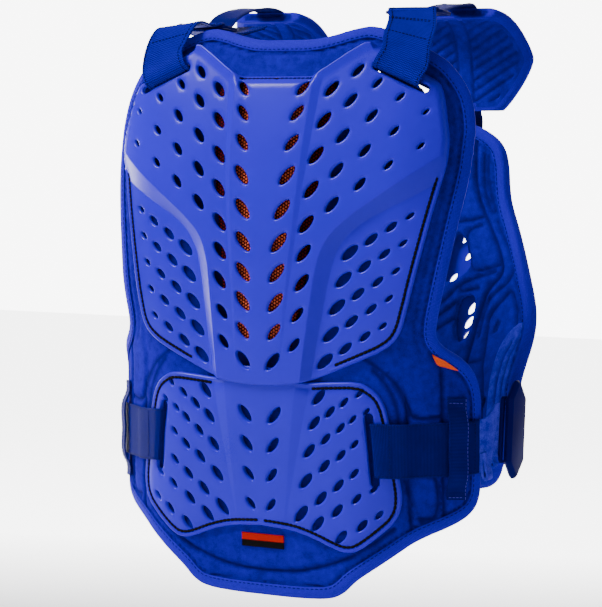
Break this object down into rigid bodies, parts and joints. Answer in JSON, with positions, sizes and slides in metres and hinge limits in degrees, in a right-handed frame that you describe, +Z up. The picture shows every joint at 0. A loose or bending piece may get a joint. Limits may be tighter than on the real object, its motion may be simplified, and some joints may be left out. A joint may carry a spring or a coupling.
{
  "type": "roost deflector",
  "caption": "Off-road riding chest and back protector: vented hard shells on padded fabric liners, joined by shoulder and waist webbing with slide buckles.",
  "frame": {"origin": "between the wearer's shoulders, level with the crest of the shoulder straps and midway between chest and back", "axes": "+Z up, -Y the way the chest faces, +X the wearer's left"},
  "size_m": [0.421, 0.2794, 0.5722],
  "materials": {
    "shell": "glossy injection-moulded royal blue plastic",
    "liner": "blue brushed knit over foam",
    "binding": "blue folded edge tape, stitched",
    "webbing": "dark blue woven webbing",
    "fitting": "dark blue satin moulded plastic",
    "vent_mesh": "red-orange spacer mesh",
    "tab": "bright orange woven tab",
    "label": "blank woven label, red over black"
  },
  "bodies": {
    "root": {"chest_shell": "shell", "belly_shell": "shell", "chest_mesh": "vent_mesh", "front_pad": "liner", "front_binding": "binding", "back_pad": "liner", "back_shell": "shell", "back_binding": "binding", "side_tab": "tab", "hem_label": "label", "shoulder_strap_left": "webbing", "shoulder_buckle_left": "fitting", "shoulder_cap_left": "liner", "back_strap_left": "webbing", "waist_strap_left": "webbing", "back_waist_strap_left": "webbing", "strap_keeper_left": "webbing", "waist_buckle_left": "fitting", "buckle_guard_left": "fitting", "shoulder_strap_right": "webbing", "shoulder_buckle_right": "fitting", "shoulder_cap_right": "liner", "back_strap_right": "webbing", "waist_strap_right": "webbing", "back_waist_strap_right": "webbing", "strap_keeper_right": "webbing", "waist_buckle_right": "fitting", "buckle_guard_right": "fitting"}
  },
  "joints": []
}
